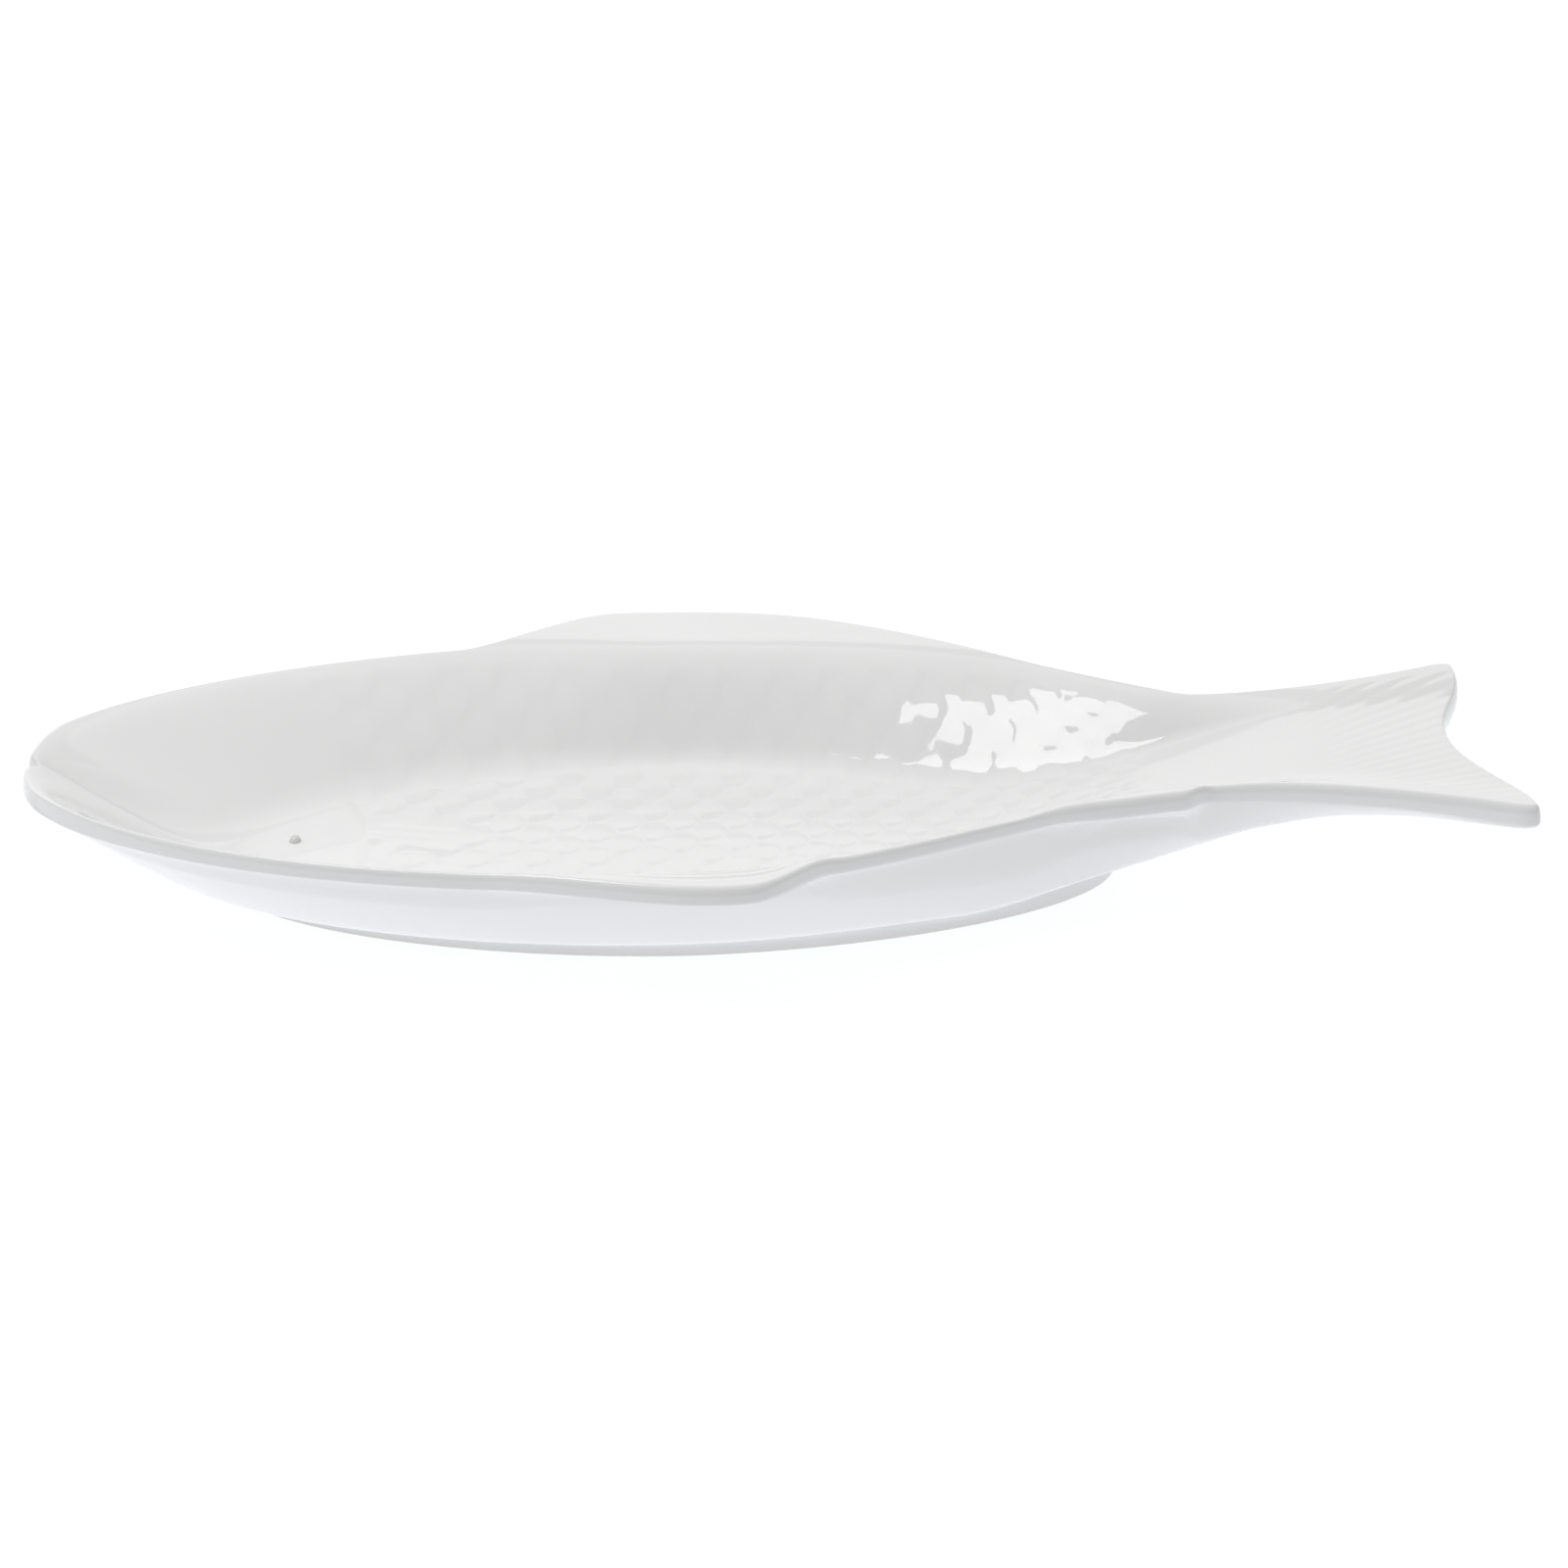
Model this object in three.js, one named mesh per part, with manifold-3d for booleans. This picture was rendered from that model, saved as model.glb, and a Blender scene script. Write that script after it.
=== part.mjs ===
import * as THREE from 'three';
import { mergeVertices } from 'three/addons/utils/BufferGeometryUtils.js';
import Module from 'manifold-3d';

// A fish-shaped serving dish in white glazed porcelain. The snout points along -X and the tail along +X.
// The back fin stands out along +Y, the belly fins along -Y. Millimetres, +Z up, the foot stands on z = 0.

const { clamp, lerp, smoothstep } = THREE.MathUtils;

// Main sizes
const LENGTH = 342; // snout to tail tips
const BELLY_WIDTH = 137; // across the rim at its widest, without the fins
const WAIST_WIDTH = 55; // across the narrow root of the tail
const TAIL_WIDTH = 91; // across the tail tips
const SNOUT_WIDTH = 38; // across the blunt front that carries the mouth
const RIM_HEIGHT = 34; // table to rim
const BASE_THICKNESS = 6; // floor of the bowl
const WALL_THICKNESS = 4.6; // wall at the rim
const TAIL_ROOT_THICKNESS = 9.8;
const TAIL_TIP_THICKNESS = 5.6;
const RECESS = 2.7; // table to the underside inside the foot
const TAIL_HOLLOW = 1.4; // how far the middle of the tail lies below its edges
const TAIL_DROP = 0.4; // how far the tail's edge lies below the rim
const TAIL_NOTCH = 10.3; // depth of the hollow in the trailing edge
const NOTCH_SHARE = 0.88; // width of that hollow as a share of the tail's width
const TAIL_ROUND = 6; // corner radius of the tail tips
const MOUTH_NOTCH = 2.2;
const MOUTH_WIDTH = 5;

// Fins that widen the rim into flat flanges
const BACK_FIN = 17.5;
const BELLY_FIN = 10.5;
const VENT_FIN = 4.5;
const FIN_RISE = 0.4; // the flanges lie this much above the rim

// Edge of the rim: small round above, wide round below
const EDGE_ABOVE = 2.2;
const EDGE_BELOW = 5;
const EDGE_LEVEL = 2; // outermost line, below the top face
const END_LAND = 0.15; // narrow blunt face left at snout and tail
const LIP = 3.5; // inner turn of the rim, measured in from the top of the wall

// Back side of the bowl, where the root of the back fin cuts across
const BACK_PULL = 6; // the top of the wall lies this far inside the body line in front
const BACK_PUSH = 9.6; // and this far outside it behind
const FLOOR_RISE = 0.39; // share of the depth that the floor gains towards the back wall

// Foot ring, joined to the underside with slip
const FOOT_LENGTH = 208;
const FOOT_WIDTH = 84;
const FOOT_BAND = 5.5; // width of the ring
const FOOT_FULLNESS = 1.8;
const FOOT_ROUND = 0.9; // rounding of the ground edges
const SEAM = 0.3; // joint gap between separate pieces

// Relief on the inner face
const SCALE_ROWS = 10; // rows on each side of the middle line
const SCALE_PITCH = 15.5; // length of the first scales behind the head
const SCALE_TAPER = 0.0018; // share by which the scales shorten with each millimetre towards the tail
const SCALE_RELIEF = 0.5;
const SCALE_STEP = 0.12; // run of the free edge, as a share of a scale
const SCALE_COUNT = 14; // scales along the body
const RAY_RELIEF = 0.35; // rays of tail and belly fin
const BELLY_RAYS = 3;
const RAY_SWEEP = 0.35; // how far the tail's rays lean towards the back, as a share of its half width
const GILL_RELIEF = 0.5;
const PECTORAL_LENGTH = 34;
const PECTORAL_WIDTH = 20;
const PECTORAL_RELIEF = 0.6;
const PECTORAL_RISE = 8; // middle line of the fish to the middle of the pectoral fin
const PECTORAL_SLANT = 0.2;
const EYE_DIAMETER = 2.8;
const EYE_HEIGHT = 1.8;
const EYE_RISE = 5.6; // middle line of the fish to the eye

// Places along the fish, from 0 at the snout to 1 at the tail tips
function at(share) {
  return (share - 0.5) * LENGTH;
}

const NOSE = at(0);
const TIP = at(1);
const BELLY = at(0.4265);
const WAIST = at(0.815);
const GILL = at(0.222);
const PECTORAL = at(0.259);
const EYE = at(0.1755);
const FOOT_MIDDLE = at(0.436);
const SCALES_FROM = at(0.2);
const SCALES_TO = at(0.77);

// The flat floor is about as large as the foot under it
const FLOOR_SHARE = FOOT_WIDTH / BELLY_WIDTH;
const FLOOR_TO_HEAD = FOOT_LENGTH / 2;
const FLOOR_FULLNESS = 1.85;

// Half width of the body line that the rim follows
const HEAD_FULLNESS = 2;

function bodyHalf(x) {
  if (x < BELLY) {
    const toNose = clamp((BELLY - x) / (BELLY - NOSE), 0, 1);
    return BELLY_WIDTH / 2 * (1 - toNose ** HEAD_FULLNESS) ** (1 / HEAD_FULLNESS);
  }
  const toWaist = clamp((x - BELLY) / (WAIST - BELLY), 0, 1);
  const toTip = clamp((x - WAIST) / (TIP - WAIST), 0, 1);
  const shoulder = 0.5 + 0.5 * Math.cos(Math.PI * toWaist ** 1.05);
  const flare = toTip ** 1.65;
  return (lerp(WAIST_WIDTH, BELLY_WIDTH, shoulder) + (TAIL_WIDTH - WAIST_WIDTH) * flare) / 2;
}

function backFin(x) {
  const rise = smoothstep(x, at(0.282), at(0.402)) + 0.12 * smoothstep(x, at(0.44), at(0.56));
  const run = clamp((x - at(0.47)) / (at(0.8) - at(0.47)), 0, 1);
  return BACK_FIN * rise * (1 - run ** 3) ** 1.4;
}

function bellyFin(x) {
  return BELLY_FIN * smoothstep(x, at(0.294), at(0.48)) * (1 - smoothstep(x, at(0.479), at(0.541)));
}

function ventFin(x) {
  return VENT_FIN * smoothstep(x, at(0.653), at(0.74)) * (1 - smoothstep(x, at(0.768), at(0.792)));
}

function tailCorner(x) {
  const into = clamp((x - TIP) / TAIL_ROUND + 1, 0, 1);
  return TAIL_ROUND * (1 - Math.sqrt(1 - into ** 2)) * 0.8;
}

function backEdge(x) {
  return bodyHalf(x) + backFin(x) - tailCorner(x);
}

function bellyEdge(x) {
  return bodyHalf(x) + bellyFin(x) + ventFin(x) - tailCorner(x);
}

// Half width of the bowl, up to the top of its wall
function bowlHalf(x, y) {
  if (y <= 0) {
    return bodyHalf(x);
  }
  const pull = BACK_PULL * smoothstep(x, at(0.31), at(0.43)) * (1 - smoothstep(x, at(0.46), at(0.58)));
  const push = BACK_PUSH * smoothstep(x, at(0.56), at(0.68)) * (1 - smoothstep(x, at(0.68), at(0.78)));
  return bodyHalf(x) - pull + push;
}

// Soft ramp: 0 far below the bend, a straight rise far above it
function ramp(x, softness) {
  return (x + Math.hypot(x, softness)) / 2;
}

// Radius in an oval with the given fullness: 1 on its outline
function ovalRadius(along, across, fullness) {
  return (along ** fullness + across ** fullness) ** (1 / fullness);
}

// Place on the wall: 0 on the edge of the flat floor, 1 on the top of the wall
function wallShare(x, y) {
  if (x >= BELLY) {
    const floor = FLOOR_SHARE * bodyHalf(x);
    return (Math.abs(y) - floor) / (bowlHalf(x, y) - floor);
  }
  const across = 2 * Math.abs(y) / BELLY_WIDTH;
  const along = BELLY - x;
  const narrowing = bodyHalf(x) > 0 ? bodyHalf(x) / bowlHalf(x, y) : 1;
  const toRim = ovalRadius(along / (BELLY - NOSE), across, HEAD_FULLNESS) * narrowing;
  const toFloor = ovalRadius(along / FLOOR_TO_HEAD, across / FLOOR_SHARE, FLOOR_FULLNESS);
  return toRim > 0 ? (toFloor - 1) / (toFloor / toRim - 1) : -1;
}

// 0 on the floor, a round bend, then a straight rise
function bendLine(share, bend) {
  return share > bend ? share : Math.max(share + bend, 0) ** 2 / (4 * bend);
}

// Rise of the wall: the belly side has a level floor, the back side's floor rises gently to a short bend
function wallRise(x, y) {
  const share = Math.min(wallShare(x, y), 2);
  const bellySide = bendLine(share, 0.35) ** 1.2;
  const straight = bendLine(share, 0.15);
  const floor = FLOOR_RISE * clamp(y / bowlHalf(x, y), 0, 1) ** 3;
  const backSide = straight + floor * (1 - straight);
  return lerp(bellySide, backSide, smoothstep(y / bodyHalf(x), 0, 0.3));
}

function rimHeight(x) {
  return RIM_HEIGHT - TAIL_DROP * smoothstep(x, at(0.62), at(0.82));
}

function bowlDepth(x) {
  return lerp(RIM_HEIGHT - RECESS - BASE_THICKNESS, TAIL_HOLLOW, smoothstep(x, at(0.612), at(0.9)));
}

// Inner face without relief
function innerFace(x, y) {
  const overshoot = 1.2;
  const depth = bowlDepth(x) + overshoot;
  const wall = rimHeight(x) + overshoot - depth * (1 - wallRise(x, y));
  const level = rimHeight(x) + FIN_RISE;
  return level - ramp(level - wall, 2);
}

function thickness(x, y) {
  const body = lerp(BASE_THICKNESS, WALL_THICKNESS, smoothstep(wallShare(x, y), 0, 1));
  const tail = lerp(TAIL_ROOT_THICKNESS, TAIL_TIP_THICKNESS, clamp((x - at(0.84)) / (TIP - at(0.84)), 0, 1));
  return lerp(body, tail, smoothstep(x, at(0.68), at(0.86)));
}

// Outer face: the inner face set back by the wall thickness, square to the slope
function outerFace(x, y) {
  const step = 0.05;
  const slopeX = (innerFace(x + step, y) - innerFace(x - step, y)) / (2 * step);
  const slopeY = (innerFace(x, y + step) - innerFace(x, y - step)) / (2 * step);
  const slant = Math.sqrt(1 + Math.min(slopeX ** 2 + slopeY ** 2, 4));
  return innerFace(x, y) - thickness(x, y) * slant;
}

// Scales: columns count along the body, rows count out from the middle line
function scalePlace(column) {
  return SCALES_FROM + (1 - Math.exp(-SCALE_TAPER * SCALE_PITCH * column)) / SCALE_TAPER;
}

function scaleColumn(x) {
  return -Math.log(Math.max(1 - SCALE_TAPER * (x - SCALES_FROM), 0.1)) / (SCALE_TAPER * SCALE_PITCH);
}

function arcDrop(y) {
  return (1 - Math.sqrt(Math.max(1 - y * y, 0))) / 2;
}

// Overlapping scales rise towards their round free edges and drop behind them
function scaleHeight(column, row) {
  let height = 0;
  for (const centre of [Math.floor(row), Math.floor(row) + 1]) {
    const edge = column + arcDrop(row - centre) - 0.5 * Math.abs(centre % 2);
    const ahead = Math.ceil(edge) - edge;
    const behind = 1 - ahead;
    height = Math.max(height, 1 - ahead, 1 - behind / SCALE_STEP);
  }
  return height;
}

function relief(x, y, row, bellyBand) {
  const share = Math.abs(row) / SCALE_ROWS;
  const gillLine = GILL - 0.0085 * y * y;
  const along = (x - PECTORAL) / PECTORAL_LENGTH * 2;
  const across = (y - PECTORAL_RISE + PECTORAL_SLANT * (x - PECTORAL)) / PECTORAL_WIDTH * 2;
  const leaf = clamp(1.6 * (1 - along ** 2 - across ** 2), 0, 1) * (x > gillLine ? 1 : 0);
  const body = smoothstep(x, gillLine, gillLine + 8) * (1 - smoothstep(x, at(0.745), SCALES_TO));
  const scales = body * (1 - leaf) * (1 - smoothstep(share, 0.94, 1)) * scaleHeight(scaleColumn(x), row);
  const gill = (1 - smoothstep(x, gillLine, gillLine + 2)) * smoothstep(x, gillLine - 30, gillLine);
  const tail = smoothstep(x, at(0.83), at(0.93)) * (1 - smoothstep(share, 0.85, 1));
  const fin = bellyFin(x) / BELLY_FIN * Math.sin(Math.PI * bellyBand) ** 2;
  return SCALE_RELIEF * scales
    + GILL_RELIEF * gill * (1 - smoothstep(Math.abs(y), 16, 28))
    + PECTORAL_RELIEF * leaf
    + RAY_RELIEF / 2 * tail * Math.cos(2 * Math.PI * row)
    + RAY_RELIEF / 2 * fin * Math.cos(2 * Math.PI * BELLY_RAYS * bellyBand);
}

// Lines that run along the fish: edge round, fin flange, bowl, fin flange, edge round
const EDGE_STEPS = [0, 0.25, 1];
const bowlRows = Array.from({ length: 4 * SCALE_ROWS + 1 }, (_, i) => i / 2 - SCALE_ROWS);
const bellyBands = Array.from({ length: 2 * BELLY_RAYS - 1 }, (_, i) => (i + 1) / (2 * BELLY_RAYS));
const upperLines = [
  ...EDGE_STEPS.map((round) => ({ side: -1, round, band: 0, row: -SCALE_ROWS })),
  ...bellyBands.map((band) => ({ side: -1, round: 1, band, row: -SCALE_ROWS })),
  ...bowlRows.map((row) => ({ side: 0, round: 1, band: 0, row })),
  ...[0.8, 0.4].map((band) => ({ side: 1, round: 1, band, row: SCALE_ROWS })),
  ...EDGE_STEPS.toReversed().map((round) => ({ side: 1, round, band: 0, row: SCALE_ROWS })),
];
const wallShares = [-1, -0.88, -0.75, -0.62, -0.4, 0, 0.4, 0.62, 0.75, 0.88, 1];
const lowerLines = [
  ...[0, 0.15, 0.5].map((round) => ({ side: -1, round })),
  ...wallShares.map((share) => ({ side: 0, round: 1, share })),
  ...[0.5, 0.15, 0].map((round) => ({ side: 1, round })),
];

function lineY(line, x, edgeRound) {
  const t = line.share ?? (line.row ?? 0) / SCALE_ROWS;
  const lip = bowlHalf(x, line.side || t) - LIP - tailCorner(x);
  if (line.side === 0) {
    const sweep = line.share === undefined ? RAY_SWEEP * smoothstep(x, at(0.83), TIP) * (1 - t * t) : 0;
    return lip * (t + sweep);
  }
  const edge = line.side < 0 ? bellyEdge(x) : backEdge(x);
  const inset = lerp(line.round * edgeRound, edge - lip, line.band ?? 0);
  return line.side * (edge - inset);
}

// Stations across the fish: close at both ends, on the scale edges between
const toCorner = (1 - (SNOUT_WIDTH / BELLY_WIDTH) ** HEAD_FULLNESS) ** (1 / HEAD_FULLNESS);
const CORNER = BELLY - (BELLY - NOSE) * toCorner;
const endSteps = [0, 0.35, 1.1, 2.4, 5];
const stations = endSteps.map((step) => CORNER + step);
const HEAD_STEPS = 9;
for (let i = 1; i < HEAD_STEPS; i++) {
  stations.push(lerp(CORNER + endSteps.at(-1), SCALES_FROM, i / HEAD_STEPS));
}
for (let half = 0; half <= 2 * SCALE_COUNT; half++) {
  stations.push(scalePlace(half / 2 - 0.005), scalePlace(half / 2 + SCALE_STEP));
}
const TAIL_STEPS = 9;
const lastScale = stations.at(-1);
for (let i = 1; i < TAIL_STEPS; i++) {
  stations.push(lerp(lastScale, TIP - endSteps.at(-1), i / TAIL_STEPS));
}
stations.push(...endSteps.toReversed().map((step) => TIP - step));

// A station bends forward round the snout, follows the scale arcs and hollows the trailing edge
function stationX(x, y, row) {
  const across = clamp(y / bodyHalf(x), -1, 1);
  const snout = (NOSE - CORNER) * (1 - across ** 2) ** 0.7 * (1 - smoothstep(x, CORNER, at(0.15)));
  const mouth = MOUTH_NOTCH * Math.exp(-((2 * y / MOUTH_WIDTH) ** 2)) * (1 - smoothstep(x, CORNER, CORNER + 12));
  const toTips = Math.min(Math.abs(across) / NOTCH_SHARE, 1);
  const hollow = 0.5 + 0.5 * Math.cos(Math.PI * toTips ** 1.1);
  const notch = -TAIL_NOTCH * hollow * smoothstep(x, at(0.853), TIP);
  const onScales = smoothstep(x, SCALES_FROM, at(0.23)) * (1 - smoothstep(x, at(0.75), SCALES_TO));
  const arc = arcDrop(row - Math.round(row)) * SCALE_PITCH * (1 - SCALE_TAPER * (x - SCALES_FROM));
  return x + snout + mouth + notch - arc * onScales;
}

function round(distance, radius) {
  const t = clamp(distance / radius, 0, 1);
  return Math.sqrt(1 - (1 - t) ** 2);
}

function shellPoint(station, line, above) {
  const edgeRound = above ? EDGE_ABOVE : EDGE_BELOW;
  const y = lineY(line, station, edgeRound);
  const row = line.row ?? 0;
  const x = stationX(station, y, above ? row : 0);
  const toEnd = Math.min(station - CORNER, TIP - station) + END_LAND;
  const toSide = Math.min(y + bellyEdge(station), backEdge(station) - y);
  const full = round(toEnd, edgeRound) * round(toSide, edgeRound);
  const inner = innerFace(x, y);
  const edge = inner - Math.min(EDGE_LEVEL, (inner - outerFace(x, y)) / 2);
  const band = line.side < 0 ? line.band ?? 0 : 0;
  const face = above ? inner + relief(x, y, row, band) : outerFace(x, y);
  return new THREE.Vector3(x, y, lerp(edge, face, full));
}

// Closed solid between two sheets of points that share their side edges; blunt faces close the ends
function sheetSolid(upper, lower) {
  const corners = [];
  const face = (a, b, c) => {
    if (!a.equals(b) && !b.equals(c) && !c.equals(a)) {
      corners.push(a, b, c);
    }
  };
  const quad = (a, b, c, d) => {
    if (a.z + c.z > b.z + d.z) {
      face(a, b, c);
      face(a, c, d);
    } else {
      face(a, b, d);
      face(b, c, d);
    }
  };
  for (let k = 0; k + 1 < upper.length; k++) {
    for (let i = 0; i + 1 < upper[k].length; i++) {
      quad(upper[k][i], upper[k + 1][i], upper[k + 1][i + 1], upper[k][i + 1]);
    }
    for (let i = 0; i + 1 < lower[k].length; i++) {
      quad(lower[k][i], lower[k][i + 1], lower[k + 1][i + 1], lower[k + 1][i]);
    }
  }
  for (const [k, flip] of [[0, true], [upper.length - 1, false]]) {
    const above = upper[k];
    const below = lower[k];
    let i = 0;
    let j = 0;
    while (i + 1 < above.length || j + 1 < below.length) {
      const useAbove = j + 1 === below.length || (i + 1 < above.length && above[i + 1].y < below[j + 1].y);
      const next = useAbove ? above[++i] : below[++j];
      const last = useAbove ? [above[i - 1], below[j], next] : [above[i], below[j - 1], next];
      face(...(flip ? last.toReversed() : last));
    }
  }
  return mergeVertices(new THREE.BufferGeometry().setFromPoints(corners), 1e-4);
}

const upperSheet = stations.map((x) => upperLines.map((line) => shellPoint(x, line, true)));
const lowerSheet = stations.map((x, k) => {
  const points = lowerLines.map((line) => shellPoint(x, line, false));
  points[0] = upperSheet[k][0];
  points[points.length - 1] = upperSheet[k].at(-1);
  return points;
});
const dishGeometry = sheetSolid(upperSheet, lowerSheet);

// Booleans
const wasm = await Module();
wasm.setup();

function solid(geometry) {
  const bare = geometry.clone();
  bare.deleteAttribute('normal');
  bare.deleteAttribute('uv');
  const merged = mergeVertices(bare, 1e-4);
  const vertProperties = new Float32Array(merged.attributes.position.array);
  const triVerts = new Uint32Array(merged.index.array);
  return new wasm.Manifold(new wasm.Mesh({ numProp: 3, vertProperties, triVerts }));
}

function geometryOf(manifold) {
  const mesh = manifold.getMesh();
  const geometry = new THREE.BufferGeometry();
  geometry.setAttribute('position', new THREE.BufferAttribute(mesh.vertProperties, 3));
  geometry.setIndex(new THREE.BufferAttribute(mesh.triVerts, 1));
  return geometry;
}

// Foot ring: a pointed oval band, trimmed to the underside of the dish
function footOval(inset) {
  const oval = [];
  const count = 48;
  for (let i = 0; i < count; i++) {
    const angle = 2 * Math.PI * i / count;
    const [c, s] = [Math.cos(angle), Math.sin(angle)];
    const x = (FOOT_LENGTH / 2 - inset) * Math.sign(c) * Math.abs(c) ** (2 / FOOT_FULLNESS);
    const y = (FOOT_WIDTH / 2 - inset) * Math.sign(s) * Math.abs(s) ** (2 / FOOT_FULLNESS);
    oval.push(new THREE.Vector2(FOOT_MIDDLE + x, y));
  }
  return oval;
}

const footShape = new THREE.Shape(footOval(FOOT_ROUND));
footShape.holes.push(new THREE.Path(footOval(FOOT_BAND - FOOT_ROUND)));
const footBlank = new THREE.ExtrudeGeometry(footShape, {
  depth: RIM_HEIGHT / 2,
  bevelThickness: FOOT_ROUND,
  bevelSize: FOOT_ROUND,
  bevelSegments: 1,
});
footBlank.translate(0, 0, FOOT_ROUND);
const lowered = (point) => point.clone().setZ(point.z - SEAM);
const overDish = (point) => point.clone().setZ(2 * RIM_HEIGHT);
const trimUpper = lowerSheet.map((row) => row.map((p, i) => (i % (row.length - 1) ? overDish(p) : lowered(p))));
const trimLower = lowerSheet.map((row) => row.map(lowered));
const footGeometry = geometryOf(solid(footBlank).subtract(solid(sheetSolid(trimUpper, trimLower))));

// Eye: a small bead set on the floor of the head
const eyeProfile = [new THREE.Vector2(0, 0)];
const EYE_ARC = 5;
for (let i = 0; i <= EYE_ARC; i++) {
  const angle = Math.PI / 2 * i / EYE_ARC;
  eyeProfile.push(new THREE.Vector2(EYE_DIAMETER / 2 * Math.cos(angle), EYE_HEIGHT * Math.sin(angle)));
}
eyeProfile.at(-1).x = 0;
const eyeGeometry = mergeVertices(new THREE.LatheGeometry(eyeProfile, 20));
eyeGeometry.rotateX(Math.PI / 2);

const glaze = new THREE.MeshStandardMaterial({ color: 0xf1f1ee, roughness: 0.12, metalness: 0 });
const biscuit = new THREE.MeshStandardMaterial({ color: 0xe9e7e2, roughness: 0.5, metalness: 0 });
const greyGlaze = new THREE.MeshStandardMaterial({ color: 0x8f8f8c, roughness: 0.15, metalness: 0 });

const dishBody = new THREE.Mesh(dishGeometry, glaze);
dishBody.name = 'dish_body';
const footRing = new THREE.Mesh(footGeometry, biscuit);
footRing.name = 'foot_ring';
const eyeBead = new THREE.Mesh(eyeGeometry, greyGlaze);
eyeBead.name = 'eye_bead';
const headFloor = (x) => innerFace(x, EYE_RISE) + relief(x, EYE_RISE, 0, 0);
eyeBead.position.set(EYE, EYE_RISE, headFloor(EYE) + SEAM);
eyeBead.rotation.y = -Math.atan2(headFloor(EYE + 1) - headFloor(EYE - 1), 2);

// The middle of the outline's box becomes the origin
const dish = new THREE.Group();
dish.add(dishBody, footRing, eyeBead);
const middle = new THREE.Box3().setFromObject(dish).getCenter(new THREE.Vector3());
dish.position.set(-middle.x, -middle.y, 0);

export default dish;
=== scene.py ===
import math

import bpy
import numpy as np
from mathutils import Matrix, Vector


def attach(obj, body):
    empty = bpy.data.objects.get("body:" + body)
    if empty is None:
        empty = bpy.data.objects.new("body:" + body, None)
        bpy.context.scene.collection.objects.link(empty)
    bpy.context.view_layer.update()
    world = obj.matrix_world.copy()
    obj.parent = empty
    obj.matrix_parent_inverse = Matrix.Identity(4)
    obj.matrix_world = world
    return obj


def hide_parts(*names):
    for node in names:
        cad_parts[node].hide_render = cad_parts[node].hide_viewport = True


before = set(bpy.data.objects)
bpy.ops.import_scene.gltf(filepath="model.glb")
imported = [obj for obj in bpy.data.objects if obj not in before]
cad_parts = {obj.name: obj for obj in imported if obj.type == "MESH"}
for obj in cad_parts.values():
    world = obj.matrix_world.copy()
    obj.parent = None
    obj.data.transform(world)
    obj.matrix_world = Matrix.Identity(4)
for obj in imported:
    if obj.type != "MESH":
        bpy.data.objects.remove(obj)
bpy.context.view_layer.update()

# The dish: one shell of white porcelain, pressed from a slab of clay in a fish-shaped mould.
# Bowl, rim, fin flanges and tail are one piece, and the relief on the inner face comes from the mould.
# It is dipped in clear glaze, which softens every edge and gathers in the hollows, and those hollows are
# also painted darker as shade.
LENGTH = 0.342  # snout to tail tips
BELLY_WIDTH = 0.137  # across the rim at its widest, without the fins
WAIST_WIDTH = 0.055  # across the narrow root of the tail
TAIL_WIDTH = 0.091
SNOUT_WIDTH = 0.038  # across the blunt front that carries the mouth
RIM_HEIGHT = 0.034
BASE_THICKNESS = 0.006
WALL_THICKNESS = 0.0046
TAIL_ROOT_THICKNESS = 0.0098
TAIL_TIP_THICKNESS = 0.0056
RECESS = 0.0027  # table to the underside inside the foot
TAIL_HOLLOW = 0.0014  # how far the middle of the tail lies below its edges
TAIL_DROP = 0.0004
TAIL_NOTCH = 0.0103
NOTCH_SHARE = 0.88
TAIL_ROUND = 0.006
TAIL_ROUND_DEPTH = 0.8  # depth of a rounded tail tip, as a share of its length
MOUTH_NOTCH = 0.0022
MOUTH_WIDTH = 0.005
BACK_FIN = 0.0175
BACK_FIN_SWELL = 0.12  # share that the back fin gains towards its crest
BACK_FIN_DELAY, BACK_FIN_CURVE = 3, 1.4  # how late and how steeply it falls off to the tail
BELLY_FIN = 0.0105
VENT_FIN = 0.0045
FIN_RISE = 0.0004
FOOT_LENGTH = 0.208
FOOT_WIDTH = 0.084
HEAD_FULLNESS = 2
SHOULDER_FULLNESS = 1.05
TAIL_FLARE = 1.65  # how late the tail widens
FLOOR_FULLNESS = 1.85
FLOOR_SHARE = FOOT_WIDTH / BELLY_WIDTH
FLOOR_TO_HEAD = FOOT_LENGTH / 2
BACK_PULL = 0.006  # the back wall's top lies this far inside the body line in front
BACK_PUSH = 0.0103  # and this far outside it behind
FLOOR_RISE = 0.39  # share of the depth that the floor gains towards the back wall
FLOOR_RISE_CURVE = 3  # how late it gains it
WALL_SWELL = 0.12  # how much steeper the back wall is at its foot than half way up
SIDES_BLEND = 0.3  # share of the half width over which belly side and back side blend
BELLY_BEND = 0.35  # run of the bend between floor and wall, as a share of the wall
BACK_BEND = 0.15
BELLY_WALL_CURVE = 1.2
RIM_OVERSHOOT = 0.0012  # how far the wall would pass the rim without the soft turn at its top
RIM_SOFTNESS = 0.002
STEEPEST = 2  # slope up to which the shell keeps its thickness


def at(share):
    """Place along the fish, from 0 at the snout to 1 at the tail tips."""
    return (share - 0.5) * LENGTH


NOSE, TIP = at(0), at(1)
BELLY, WAIST = at(0.4265), at(0.815)
TAIL_ROOT = at(0.84)
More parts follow.
